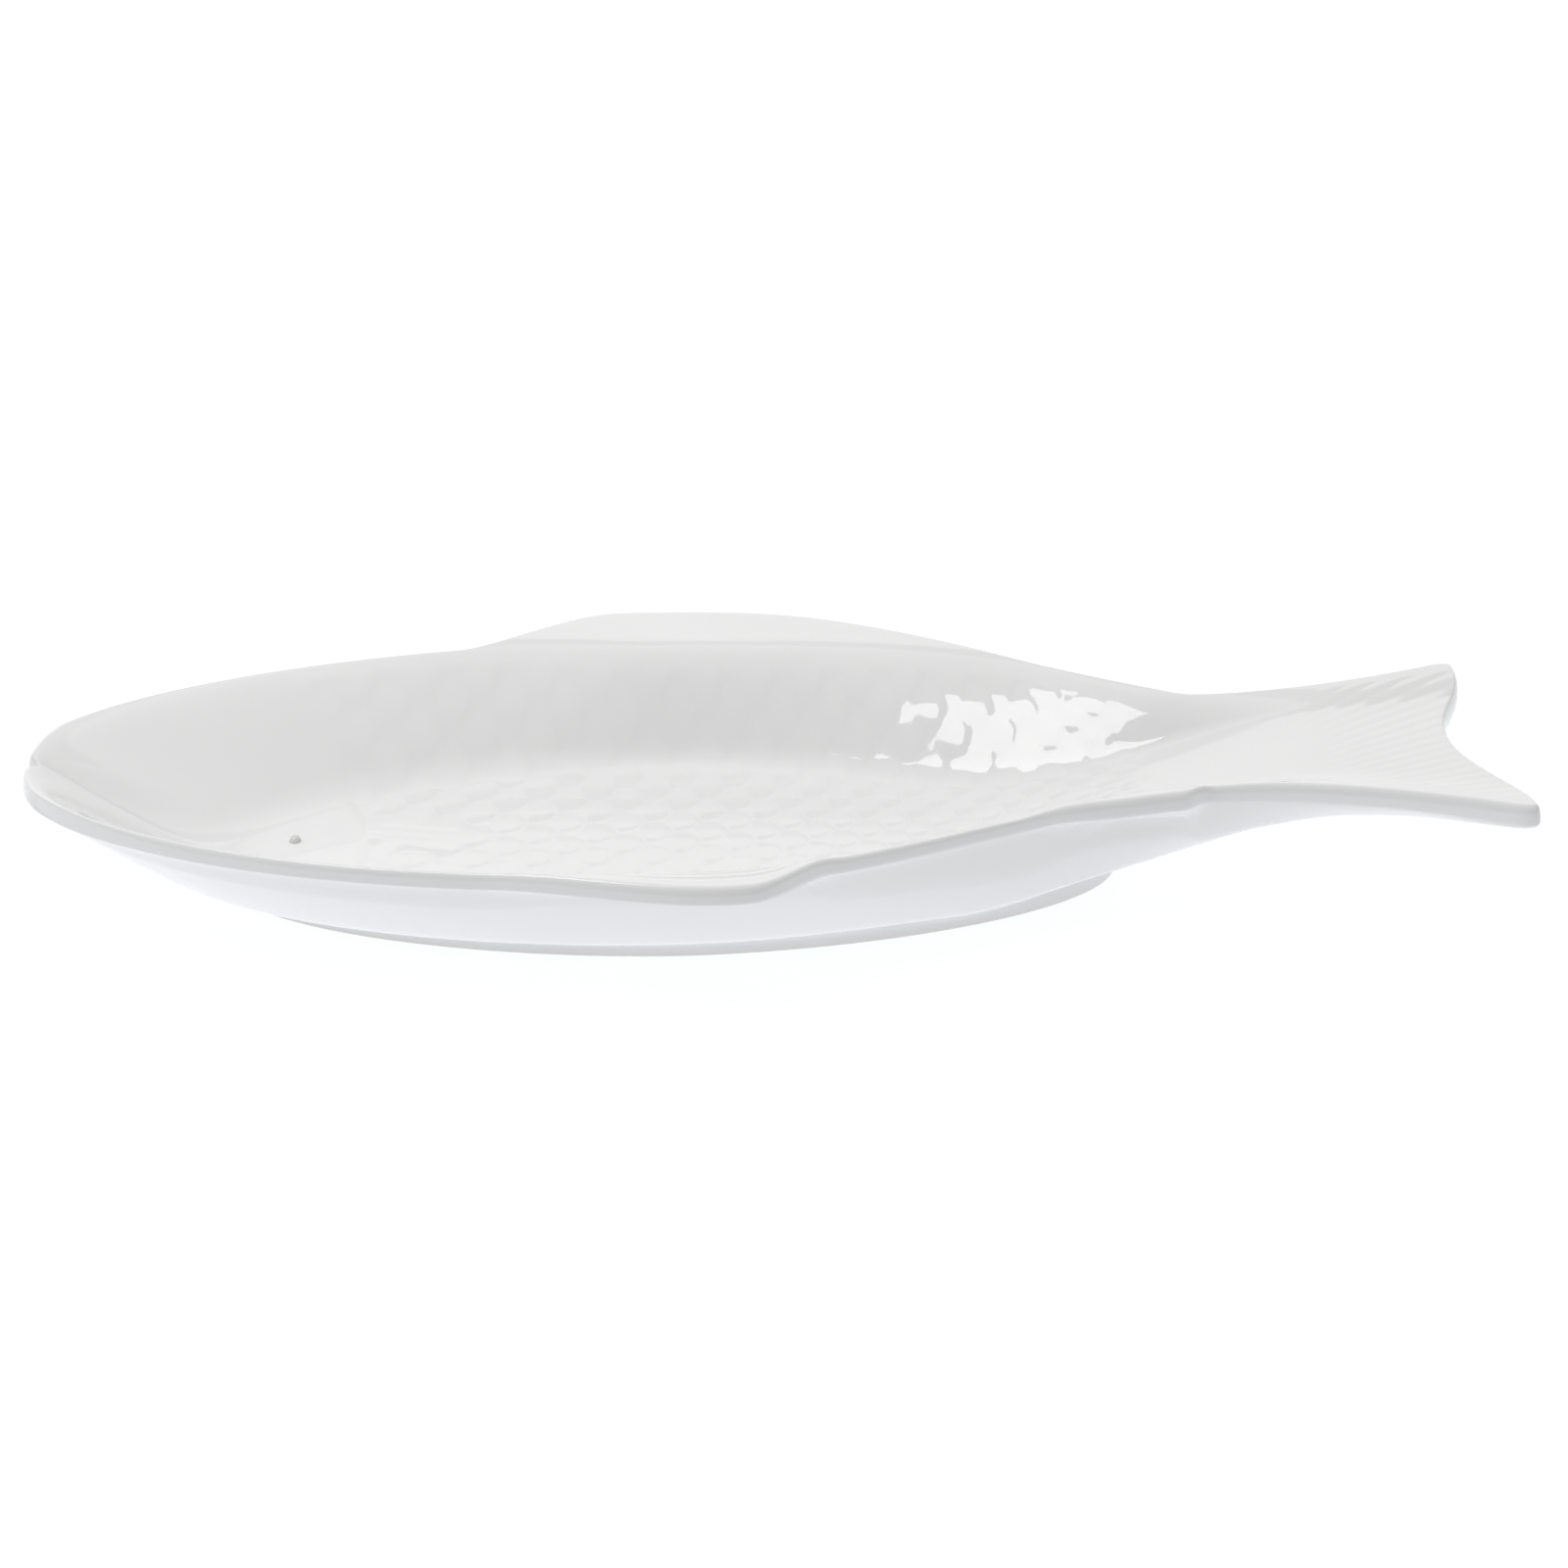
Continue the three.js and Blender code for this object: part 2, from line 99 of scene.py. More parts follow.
# Stretches of the fish, each from where a form starts to where it is complete.
BACK_FIN_RISE = at(0.282), at(0.402)
BACK_FIN_CREST = at(0.44), at(0.56)
BACK_FIN_FALL = at(0.47), at(0.8)
BELLY_FIN_RISE = at(0.294), at(0.48)
BELLY_FIN_FALL = at(0.479), at(0.541)
VENT_FIN_RISE = at(0.653), at(0.74)
VENT_FIN_FALL = at(0.768), at(0.792)
PULL_START = at(0.31), at(0.43)
PUSH_START = at(0.45), at(0.69)
PUSH_END = at(0.68), at(0.78)
RIM_DROP = at(0.62), at(0.82)
BOWL_END = at(0.612), at(0.9)
TAIL_THICKENING = at(0.68), at(0.86)


def ease(x, low, high):
    """Soft step from 0 at low to 1 at high."""
    t = np.clip((x - low) / (high - low), 0, 1)
    return t * t * (3 - 2 * t)


def mix(a, b, t):
    """a where t is 0, b where t is 1."""
    return a + (b - a) * t


def body_half(x):
    """Half width of the body line that the rim follows."""
    to_nose = np.clip((BELLY - x) / (BELLY - NOSE), 0, 1)
    to_waist = np.clip((x - BELLY) / (WAIST - BELLY), 0, 1)
    to_tip = np.clip((x - WAIST) / (TIP - WAIST), 0, 1)
    head = BELLY_WIDTH * (1 - to_nose**HEAD_FULLNESS) ** (1 / HEAD_FULLNESS)
    shoulder = 0.5 + 0.5 * np.cos(math.pi * to_waist**SHOULDER_FULLNESS)
    rear = mix(WAIST_WIDTH, BELLY_WIDTH, shoulder) + (TAIL_WIDTH - WAIST_WIDTH) * to_tip**TAIL_FLARE
    return np.where(x < BELLY, head, rear) / 2


def back_fin(x):
    """Width of the back fin's flange outside the body line."""
    rise = ease(x, *BACK_FIN_RISE) + BACK_FIN_SWELL * ease(x, *BACK_FIN_CREST)
    fall_from, fall_to = BACK_FIN_FALL
    run = np.clip((x - fall_from) / (fall_to - fall_from), 0, 1)
    return BACK_FIN * rise * (1 - run**BACK_FIN_DELAY) ** BACK_FIN_CURVE


def belly_fin(x):
    """A slow rise to the fin's tip, then a quick fall behind it."""
    return BELLY_FIN * ease(x, *BELLY_FIN_RISE) * (1 - ease(x, *BELLY_FIN_FALL))


def vent_fin(x):
    """The small fin in front of the tail."""
    return VENT_FIN * ease(x, *VENT_FIN_RISE) * (1 - ease(x, *VENT_FIN_FALL))


def tail_corner(x):
    """How far the rounded tips of the tail step in."""
    into = np.clip((x - TIP) / TAIL_ROUND + 1, 0, 1)
    return TAIL_ROUND_DEPTH * TAIL_ROUND * (1 - np.sqrt(1 - into**2))


def back_line(x):
    """Half width of the bowl on its back side, where the root of the back fin cuts across."""
    pull = BACK_PULL * ease(x, *PULL_START)
    push = (BACK_PULL + BACK_PUSH) * ease(x, *PUSH_START)
    return body_half(x) + (push - pull) * (1 - ease(x, *PUSH_END))


def bowl_half(x, y):
    """Half width of the bowl on the side of the fish that y lies on."""
    return np.where(y > 0, back_line(x), body_half(x))


def ramp(x, softness):
    """0 far below the bend, a straight rise far above it."""
    return (x + np.hypot(x, softness)) / 2


def oval_radius(along, across, fullness):
    """1 on an oval that is 1 along and 1 across, and more outside it."""
    return (along**fullness + across**fullness) ** (1 / fullness)


def wall_share(x, y):
    """0 on the edge of the flat floor, 1 on the top of the wall."""
    across = 2 * np.abs(y) / BELLY_WIDTH
    along = np.maximum(BELLY - x, 0)
    narrowing = body_half(x) / bowl_half(x, y)
    to_rim = oval_radius(along / (BELLY - NOSE), across, HEAD_FULLNESS) * narrowing
    to_floor = oval_radius(along / FLOOR_TO_HEAD, across / FLOOR_SHARE, FLOOR_FULLNESS)
    to_rim = np.maximum(to_rim, 1e-6)
    head = (to_floor - 1) / np.maximum(to_floor / to_rim - 1, 1e-6)
    floor = FLOOR_SHARE * body_half(x)
    rear = (np.abs(y) - floor) / (bowl_half(x, y) - floor)
    return np.where(x < BELLY, head, rear)


def bend_line(share, bend):
    """0 on the floor, a round bend, then a straight rise."""
    return np.where(share > bend, share, np.maximum(share + bend, 0) ** 2 / (4 * bend))


def wall_rise(x, y):
    """The belly side has a level floor, and on the back side the floor rises gently to a short bend."""
    share = np.minimum(wall_share(x, y), 2)
    belly_side = bend_line(share, BELLY_BEND) ** BELLY_WALL_CURVE
    straight = bend_line(share, BACK_BEND)
    straight = straight + WALL_SWELL / math.pi * np.sin(math.pi * np.clip(straight, 0, 1))
    floor = FLOOR_RISE * np.clip(y / bowl_half(x, y), 0, 1) ** FLOOR_RISE_CURVE
    back_side = straight + floor * (1 - straight)
    return mix(belly_side, back_side, ease(y / body_half(x), 0, SIDES_BLEND))


def rim_height(x):
    """Height of the rim over the table."""
    return RIM_HEIGHT - TAIL_DROP * ease(x, *RIM_DROP)


def inner_face(x, y):
    """Height of the inner face without its relief."""
    bowl = RIM_HEIGHT - RECESS - BASE_THICKNESS
    depth = mix(bowl, TAIL_HOLLOW, ease(x, *BOWL_END)) + RIM_OVERSHOOT
    wall = rim_height(x) + RIM_OVERSHOOT - depth * (1 - wall_rise(x, y))
    level = rim_height(x) + FIN_RISE
    return level - ramp(level - wall, RIM_SOFTNESS)


def thickness(x, y):
    """The shell thins from floor to rim, and the tail from its root to its tips."""
    body = mix(BASE_THICKNESS, WALL_THICKNESS, ease(wall_share(x, y), 0, 1))
    to_tip = np.clip((x - TAIL_ROOT) / (TIP - TAIL_ROOT), 0, 1)
    tail = mix(TAIL_ROOT_THICKNESS, TAIL_TIP_THICKNESS, to_tip)
    return mix(body, tail, ease(x, *TAIL_THICKENING))


def outer_face(x, y):
    """The inner face set back by the wall thickness, square to the slope."""
    step = 0.00005  # small enough to take a slope
    slope_x = (inner_face(x + step, y) - inner_face(x - step, y)) / (2 * step)
    slope_y = (inner_face(x, y + step) - inner_face(x, y - step)) / (2 * step)
    slant = np.sqrt(1 + np.minimum(slope_x**2 + slope_y**2, STEEPEST**2))
    return inner_face(x, y) - thickness(x, y) * slant


# Relief of the mould: overlapping scales, gill edge, pectoral fin and the rays of the fins.
# Scales rise towards their round free edges, which point to the tail, and drop behind them.
# The rays of the tail lean towards the back, as if they left the belly side of its root.
SCALE_ROWS = 10  # rows on each side of the middle line
SCALE_PITCH = 0.0155  # length of the first scales behind the head
SCALE_TAPER = 1.8  # share by which the scales shorten with each metre towards the tail
SCALE_COUNT = 14
SCALE_RELIEF = 0.00038
SCALE_STEP = 0.17  # run of the free edge, as a share of a scale
SCALE_DOME = 3  # how strongly a scale falls off to its sides
SCALE_CREST = 1.5  # how late a scale rises to its free edge
SCALES_FROM, SCALES_TO = at(0.2), at(0.77)
SCALES_FADE = at(0.745), SCALES_TO
SCALES_BORDER = 0.94, 1  # share of the way to the rim where the scales run out
SCALES_BEHIND_GILL = 0.008
GILL = at(0.222)
GILL_BEND = 8.5
GILL_RELIEF = 0.0004
GILL_EDGE = 0.002  # run of its drop
GILL_LENGTH = 0.03
GILL_ENDS = 0.024, 0.036  # where it runs out to both sides
PECTORAL = at(0.259)
PECTORAL_LENGTH = 0.034
PECTORAL_WIDTH = 0.020
PECTORAL_RELIEF = 0.0005
PECTORAL_RISE = 0.008
PECTORAL_SLANT = 0.2
PECTORAL_RAYS = 2.5
PECTORAL_EDGE = 1.6  # how steep its edge is
RAY_RELIEF = 0.00025
TAIL_RAY_SHARE, PECTORAL_RAY_SHARE = 0.4, 0.25  # softer than the rays of the belly fin
BELLY_RAYS = 5
POOL_SHADE_WIDTH = 0.06  # run of the pooled glaze and painted shade at the foot of a scale, as a share of the scale
TAIL_RAY_ROOT = (0.030, -0.070)  # point that the tail's rays spread from
TAIL_RAY_ANGLE = 0.0248
TAIL_RAYS_GROW = at(0.83), at(0.93)
TAIL_RAYS_BORDER = 0.9, 1


def scale_place(column):
    """Place along the fish where a column of scales starts."""
    return SCALES_FROM + (1 - np.exp(-SCALE_TAPER * SCALE_PITCH * column)) / SCALE_TAPER


def scale_column(x):
    """Column of scales at a place along the fish."""
    return -np.log(np.maximum(1 - SCALE_TAPER * (x - SCALES_FROM), 0.1)) / (SCALE_TAPER * SCALE_PITCH)


def arc_drop(y):
    """How far the round free edge of a scale lies behind its foremost point, in scales."""
    return (1 - np.sqrt(np.maximum(1 - y * y, 0))) / 2


def scale_height(column, row):
    """Height over the lowest point and closeness to the foot of a free edge, each from 0 to 1."""
    height = np.zeros_like(column)
    foot = np.zeros_like(column)
    for centre in (np.floor(row), np.floor(row) + 1):
        side = arc_drop(row - centre)
        edge = column + side - 0.5 * (centre % 2)
        along = edge - np.floor(edge)
        crest = 1 - (1 - along) ** SCALE_CREST - SCALE_DOME * side
        drop = (1 - SCALE_DOME * side) * (1 - ease(along, 0, SCALE_STEP))
        height = np.maximum(height, np.maximum(crest, drop))
        # closeness to the foot of a free edge, where pooled glaze and painted shade darken the colour
        foot = np.maximum(foot, np.exp(-np.abs(along - SCALE_STEP) / POOL_SHADE_WIDTH))
    return height, foot


def relief(x, y, row, band):
    """Height of the relief, and how much pooled glaze and painted shade darken it there."""
    share = np.abs(row) / SCALE_ROWS
    gill_line = GILL - GILL_BEND * y * y
    along = 2 * (x - PECTORAL) / PECTORAL_LENGTH
    across = 2 * (y - PECTORAL_RISE + PECTORAL_SLANT * (x - PECTORAL)) / PECTORAL_WIDTH
    behind_gill = ease(x, gill_line, gill_line + GILL_EDGE)
    leaf = np.clip(PECTORAL_EDGE * (1 - along**2 - across**2), 0, 1) * behind_gill
    body = ease(x, gill_line, gill_line + SCALES_BEHIND_GILL) * (1 - ease(x, *SCALES_FADE))
    body = body * (1 - leaf) * (1 - ease(share, *SCALES_BORDER))
    scales, scale_foot = scale_height(scale_column(x), row)
    gill = (1 - behind_gill) * ease(x, gill_line - GILL_LENGTH, gill_line)
    gill = gill * (1 - ease(np.abs(y), *GILL_ENDS))
    fan = np.arctan2(y - TAIL_RAY_ROOT[1], x - TAIL_RAY_ROOT[0]) / TAIL_RAY_ANGLE
    tail = ease(x, *TAIL_RAYS_GROW) * (1 - ease(share, *TAIL_RAYS_BORDER)) * np.cos(2 * math.pi * fan)
    fin = belly_fin(x) / BELLY_FIN * np.sin(math.pi * band) ** 2 * np.cos(2 * math.pi * BELLY_RAYS * band)
    leaf_rays = leaf * np.cos(2 * math.pi * PECTORAL_RAYS * across)
    height = SCALE_RELIEF * body * scales + GILL_RELIEF * gill + PECTORAL_RELIEF * leaf
    rays = TAIL_RAY_SHARE * tail + fin + PECTORAL_RAY_SHARE * leaf_rays
    height = height + RAY_RELIEF / 2 * rays
    return height, body * scale_foot


# The slab: a flat grid is extruded to a plate, and all but its underside is cut finer for the relief.
# Each point then goes to its place on the form: stations run across the fish, lines run along it.
EDGE_ABOVE = 0.0016  # round of the rim above its outermost line
EDGE_BELOW = 0.0055
EDGE_LEVEL = 0.0042  # outermost line, below the top face
EDGE_SHARE = 0.85  # and at most this share of the thickness below it
CREASE = 1.6  # 1 rounds the edge below its outermost line, and more leaves a crease there
ROLL_FROM_END = 0.03  # the rolled underside of the rim runs out this far from snout and tail tips
FIRST_TURN = math.radians(12)
LIP_ABOVE = 0.0035  # inner turn of the rim, measured in from the top of the wall
LIP_BELOW = 0.009
EDGE_STEPS = 8
NEAR_FLANGE_STEPS = 24
BOWL_STEPS = 12 * SCALE_ROWS
FAR_FLANGE_STEPS = 12
HEAD_STEPS = 64
SCALE_STEPS = 16 * SCALE_COUNT
TAIL_STEPS = 96
NEAR_LIP = EDGE_STEPS + NEAR_FLANGE_STEPS
FAR_LIP = NEAR_LIP + BOWL_STEPS
LINES = FAR_LIP + FAR_FLANGE_STEPS + EDGE_STEPS
STATIONS = EDGE_STEPS + HEAD_STEPS + SCALE_STEPS + TAIL_STEPS + EDGE_STEPS
SNOUT_ROUND = 0.7  # how blunt the snout is
SNOUT_END = at(0.15)
MOUTH_LENGTH = 0.012  # how far the mouth notch runs back
NOTCH_ROUND = 1.1
NOTCH_FROM = at(0.853)
ARCS_START = SCALES_FROM, at(0.23)
ARCS_END = at(0.75), SCALES_TO
CORNER = BELLY - (BELLY - NOSE) * (1 - (SNOUT_WIDTH / BELLY_WIDTH) ** HEAD_FULLNESS) ** (1 / HEAD_FULLNESS)


def turn(step, outermost):
    """Angle round the rim's edge, from 0 on the outermost line to a quarter turn on the face."""
    angle = mix(FIRST_TURN, math.pi / 2, np.clip(step / EDGE_STEPS, 0, 1))
    return np.where(outermost, 0, angle)


def station_place(i, outermost):
    """Place of a station along the fish, and how far it has turned onto the face."""
    from_end = np.minimum(i, STATIONS - i)
    angle = turn(from_end, outermost & (from_end == 0))
    inset = EDGE_ABOVE * (1 - np.cos(angle))
    head_share = (i - EDGE_STEPS) / HEAD_STEPS
    first_scale = EDGE_STEPS + HEAD_STEPS
    column = (i - first_scale) / (SCALE_STEPS / SCALE_COUNT)
    tail_share = (i - first_scale - SCALE_STEPS) / TAIL_STEPS
    x = np.select(
        [head_share < 0, head_share < 1, column < SCALE_COUNT, tail_share < 1],
        [
            CORNER + inset,
            mix(CORNER + EDGE_ABOVE, SCALES_FROM, head_share),
            scale_place(column),
            mix(scale_place(SCALE_COUNT), TIP - EDGE_ABOVE, tail_share),
        ],
        TIP - inset,
    )
    return x, np.sin(angle)


def line_place(j, x, radius, crease, lip_inset, outermost):
    """Place of a line across the fish: y, scale row, share of the near flange, turn onto the face."""
    from_edge = np.minimum(j, LINES - j)
    angle = turn(from_edge, outermost & (from_edge == 0))
    inset = radius * (1 - np.maximum(np.cos(angle), 0) ** crease)
    near_lip = body_half(x) - lip_inset - tail_corner(x)
    far_lip = back_line(x) - lip_inset - tail_corner(x)
    near_edge = body_half(x) + belly_fin(x) + vent_fin(x) - tail_corner(x)
    far_edge = body_half(x) + back_fin(x) - tail_corner(x)
    near_band = np.clip((j - EDGE_STEPS) / NEAR_FLANGE_STEPS, 0, 1)
    far_band = np.clip((LINES - j - EDGE_STEPS) / FAR_FLANGE_STEPS, 0, 1)
    row = np.clip((j - NEAR_LIP) / BOWL_STEPS * 2 - 1, -1, 1) * SCALE_ROWS
    near = inset + near_band * (near_edge - near_lip - radius) - near_edge
    far = far_edge - inset - far_band * (far_edge - far_lip - radius)
    bowl = np.where(row < 0, near_lip, far_lip) * row / SCALE_ROWS
    y = np.select([j < NEAR_LIP, j <= FAR_LIP], [near, bowl], far)
    band = np.where(j < NEAR_LIP, near_band, 1)
    return y, row, band, np.sin(angle) ** crease


def station_bend(x, y, row):
    """A station bends forward round the snout, follows the scale arcs and hollows the trailing edge."""
    across = np.clip(y / body_half(x), -1, 1)
    snout = (NOSE - CORNER) * (1 - across**2) ** SNOUT_ROUND * (1 - ease(x, CORNER, SNOUT_END))
    in_mouth = 1 - ease(x, CORNER, CORNER + MOUTH_LENGTH)
    mouth = MOUTH_NOTCH * np.exp(-((2 * y / MOUTH_WIDTH) ** 2)) * in_mouth
    to_tips = np.minimum(np.abs(across) / NOTCH_SHARE, 1)
    notch = -TAIL_NOTCH * (0.5 + 0.5 * np.cos(math.pi * to_tips**NOTCH_ROUND)) * ease(x, NOTCH_FROM, TIP)
    on_scales = ease(x, *ARCS_START) * (1 - ease(x, *ARCS_END))
    arc = arc_drop(row - np.rint(row)) * SCALE_PITCH * (1 - SCALE_TAPER * (x - SCALES_FROM))
    return x + snout + mouth + notch - arc * on_scales


def vertex_places(piece):
    """Places of the piece's points, one row each."""
    places = np.empty(3 * len(piece.data.vertices), np.float32)
    piece.data.vertices.foreach_get("co", places)
    return places.reshape(-1, 3).astype(float)


def move_vertices(piece, places):
    """Puts the piece's points at these places."""
    piece.data.vertices.foreach_set("co", places.astype(np.float32).ravel())
    piece.data.update()


def select_faces(piece, chosen):
    """Leaves edit mode, selects the faces whose middle passes the test, and goes back."""
    bpy.ops.object.mode_set(mode="OBJECT")
    for face in piece.data.polygons:
        face.select = chosen(face.center)
    bpy.ops.object.mode_set(mode="EDIT")


bpy.ops.object.select_all(action="DESELECT")
bpy.ops.mesh.primitive_grid_add(x_subdivisions=STATIONS // 2, y_subdivisions=LINES // 2, size=1)
dish = bpy.context.object
dish.name = "glazed_dish"
bpy.ops.object.mode_set(mode="EDIT")
bpy.ops.mesh.select_mode(type="FACE")
bpy.ops.mesh.select_all(action="SELECT")
bpy.ops.mesh.extrude_region_move(TRANSFORM_OT_translate={"value": (0, 0, 1)})
select_faces(dish, lambda centre: centre.z > 0.01)
bpy.ops.mesh.subdivide(number_cuts=1)
bpy.ops.object.mode_set(mode="OBJECT")

slab = vertex_places(dish)
station = np.rint((slab[:, 0] + 0.5) * STATIONS)
line = np.rint((slab[:, 1] + 0.5) * LINES)
above = slab[:, 2] > 0.75
outermost = np.abs(slab[:, 2] - 0.5) < 0.25
along, end_turn = station_place(station, outermost)
from_end = np.minimum(along - CORNER, TIP - along)
under_roll = np.where(above | outermost, 0, ease(from_end, EDGE_ABOVE, ROLL_FROM_END))
edge_round = mix(EDGE_ABOVE, EDGE_BELOW, under_roll)
crease = mix(1, CREASE, under_roll)
lip_inset = mix(LIP_ABOVE, LIP_BELOW, under_roll)
y, row, band, side_turn = line_place(line, along, edge_round, crease, lip_inset, outermost)
x = station_bend(along, y, np.where(above, row, 0))
inner, outer = inner_face(x, y), outer_face(x, y)
raised, pooled_shade = relief(x, y, row, band)
edge = inner - np.minimum(EDGE_LEVEL, EDGE_SHARE * (inner - outer))
face = np.where(above, inner + raised, outer)
z = mix(edge, face, end_turn * side_turn)
middle = [(side.min() + side.max()) / 2 for side in (x, y)]
move_vertices(dish, np.column_stack([x - middle[0], y - middle[1], z]))
# Painted shade: the foot of each scale's free edge is marked for a darker colour, with the glaze that
# pools in that hollow.
pool = dish.data.attributes.new("pooled_glaze_and_shade", "FLOAT", "POINT")
pool.data.foreach_set("value", np.where(above, pooled_shade, 0).astype(np.float32))

bpy.ops.object.mode_set(mode="EDIT")
bpy.ops.mesh.select_all(action="SELECT")
bpy.ops.mesh.normals_make_consistent(inside=False)
bpy.ops.object.mode_set(mode="OBJECT")
bpy.ops.object.shade_smooth()


class Wire:
    """A value that changes over a surface. Sums on it add Math nodes to its finish."""

    def __init__(self, finish, socket):
        self.finish = finish
        self.socket = socket

    def maths(self, operation, first, second):
        """Joins two values, of which one may be a plain number."""
        return self.finish.node("ShaderNodeMath", {"operation": operation}, {0: first, 1: second})

    def __add__(self, other):
        return self.maths("ADD", self, other)

    def __radd__(self, other):
        return self.maths("ADD", other, self)

    def __sub__(self, other):
        return self.maths("SUBTRACT", self, other)

    def __rsub__(self, other):
        return self.maths("SUBTRACT", other, self)

    def __mul__(self, other):
        return self.maths("MULTIPLY", self, other)

    def __rmul__(self, other):
        return self.maths("MULTIPLY", other, self)


class Finish:
    """The nodes of one material or of the world."""

    def __init__(self, owner):
        owner.use_nodes = True
        self.tree = owner.node_tree
        self.tree.nodes.clear()

    def node(self, kind, settings=None, sockets=None, output=0):
        """Adds a node, sets it up, joins its sockets, and gives back one of its outputs."""
        made = self.tree.nodes.new(kind)
        for name, value in (settings or {}).items():
            setattr(made, name, value)
        for name, value in (sockets or {}).items():
            if isinstance(value, Wire):
                self.tree.links.new(value.socket, made.inputs[name])
            else:
                made.inputs[name].default_value = value
        return Wire(self, made.outputs[output]) if made.outputs else made


def new_finish(piece, name):
    """Gives the piece a new material with no nodes in it yet."""
    material = bpy.data.materials.new(name)
    piece.data.materials.clear()
    piece.data.materials.append(material)
    return Finish(material)


CLOUD_SCALE = 28.0  # slow changes in the thickness of the glaze
WAVE_SCALE = 70.0  # faint waves of its surface
WAVE_HEIGHT = 0.0002
POOL_SHADE_TINT = 0.06  # how far pooled glaze and painted shade darken the colour
GLAZE_IOR = 1.5
GLAZE_WHITE = (0.80, 0.798, 0.797, 1)
GLAZE_THIN = (0.83, 0.829, 0.829, 1)
# darker grey for the pooled glaze and painted shade at the foot of the scale edges
GLAZE_POOL_SHADE = (0.70, 0.71, 0.715, 1)

glaze = new_finish(dish, "clear_glaze_on_porcelain")
place = glaze.node("ShaderNodeTexCoord", output="Object")
cloud = glaze.node("ShaderNodeTexNoise", {}, {"Vector": place, "Scale": CLOUD_SCALE, "Detail": 2.0})
wave = glaze.node("ShaderNodeTexNoise", {}, {"Vector": place, "Scale": WAVE_SCALE, "Detail": 1.0})
hollow = glaze.node("ShaderNodeAttribute", {"attribute_name": "pooled_glaze_and_shade"}, output="Fac")
tone = glaze.node(
    "ShaderNodeMix",
    {"data_type": "RGBA"},
    {"Factor": cloud, 6: GLAZE_WHITE, 7: GLAZE_THIN},
    output=2,
)
# Painted shade: the hollows at the foot of the scale edges are mixed towards that darker grey.
colour = glaze.node(
    "ShaderNodeMix",
    {"data_type": "RGBA"},
    {"Factor": hollow * POOL_SHADE_TINT, 6: tone, 7: GLAZE_POOL_SHADE},
    output=2,
)
skin = glaze.node("ShaderNodeBump", {}, {"Height": wave, "Strength": 0.25, "Distance": WAVE_HEIGHT})
shader = glaze.node(
    "ShaderNodeBsdfPrincipled",
    {},
    {"Base Color": colour, "Roughness": 0.02 + 0.04 * cloud, "IOR": GLAZE_IOR, "Normal": skin},
)
glaze.node("ShaderNodeOutputMaterial", {}, {"Surface": shader})
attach(dish, "root")
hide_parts("dish_body")

# The foot: a low oval ring of the same clay, luted to the underside with slip before glazing.
# Its sides carry glaze, and its lower edge is ground bare so that the dish stands level.
FOOT_BAND = 0.0055
FOOT_FULLNESS = 1.8
FOOT_MIDDLE = at(0.436)
FOOT_SIDES = 192
FOOT_BED = 0.0004  # how far the ring's top reaches into the underside
# inset from the outer oval, height over the table, share of the way up to the underside
FOOT_PROFILE = [
    (-0.0016, 0, 1),
    (-0.0007, 0, 0.82),
    (-0.0002, 0, 0.6),
    (0, 0.0013, 0),
    (0.0001, 0.0007, 0),
    (0.0004, 0.0002, 0),
    (0.0009, 0, 0),
    (FOOT_BAND - 0.0009, 0, 0),
    (FOOT_BAND - 0.0004, 0.0002, 0),
    (FOOT_BAND - 0.0001, 0.0007, 0),
    (FOOT_BAND, 0.0012, 0),
    (FOOT_BAND + 0.0003, 0, 0.75),
    (FOOT_BAND + 0.0012, 0, 1),
]

bpy.ops.object.select_all(action="DESELECT")
bpy.ops.mesh.primitive_circle_add(vertices=FOOT_SIDES, radius=1, fill_type="NOTHING")
foot = bpy.context.object
foot.name = "foot_band"
bpy.ops.object.mode_set(mode="EDIT")
bpy.ops.mesh.select_mode(type="EDGE")
bpy.ops.mesh.select_all(action="SELECT")
for _ in FOOT_PROFILE[1:]:
    bpy.ops.mesh.extrude_region_move(TRANSFORM_OT_translate={"value": (0, 0, 1)})
bpy.ops.object.mode_set(mode="OBJECT")
last_ring = len(FOOT_PROFILE) - 1
heights = [v.co.z for v in foot.data.vertices]
for e in foot.data.edges:
    ends = {round(heights[v]) for v in e.vertices}
    e.select = ends in ({0}, {last_ring})
bpy.ops.object.mode_set(mode="EDIT")
bpy.ops.mesh.bridge_edge_loops()
bpy.ops.object.mode_set(mode="OBJECT")

tube = vertex_places(foot)
angle = np.arctan2(tube[:, 1], tube[:, 0])
inset, lift, way_up = np.array(FOOT_PROFILE)[np.rint(tube[:, 2]).astype(int)].T
power = 2 / FOOT_FULLNESS
foot_x = (FOOT_LENGTH / 2 - inset) * np.sign(np.cos(angle)) * np.abs(np.cos(angle)) ** power
foot_y = (FOOT_WIDTH / 2 - inset) * np.sign(np.sin(angle)) * np.abs(np.sin(angle)) ** power
foot_x = foot_x + FOOT_MIDDLE
foot_z = lift + way_up * (outer_face(foot_x, foot_y) + FOOT_BED)
move_vertices(foot, np.column_stack([foot_x - middle[0], foot_y - middle[1], foot_z]))
bpy.ops.object.mode_set(mode="EDIT")
bpy.ops.mesh.select_all(action="SELECT")
bpy.ops.mesh.normals_make_consistent(inside=False)
bpy.ops.object.mode_set(mode="OBJECT")
bpy.ops.object.shade_smooth()

GROUND_CLAY = (0.74, 0.72, 0.68, 1)
GROUND_TO = 0.0009  # height up to which the glaze is ground off
GROUND_EDGE = 0.0005
GROUND_WANDER = 0.0004  # how far that line strays
GRAIN_HEIGHT = 0.0001
WANDER_SCALE, GRAIN_SCALE = 300.0, 2500.0

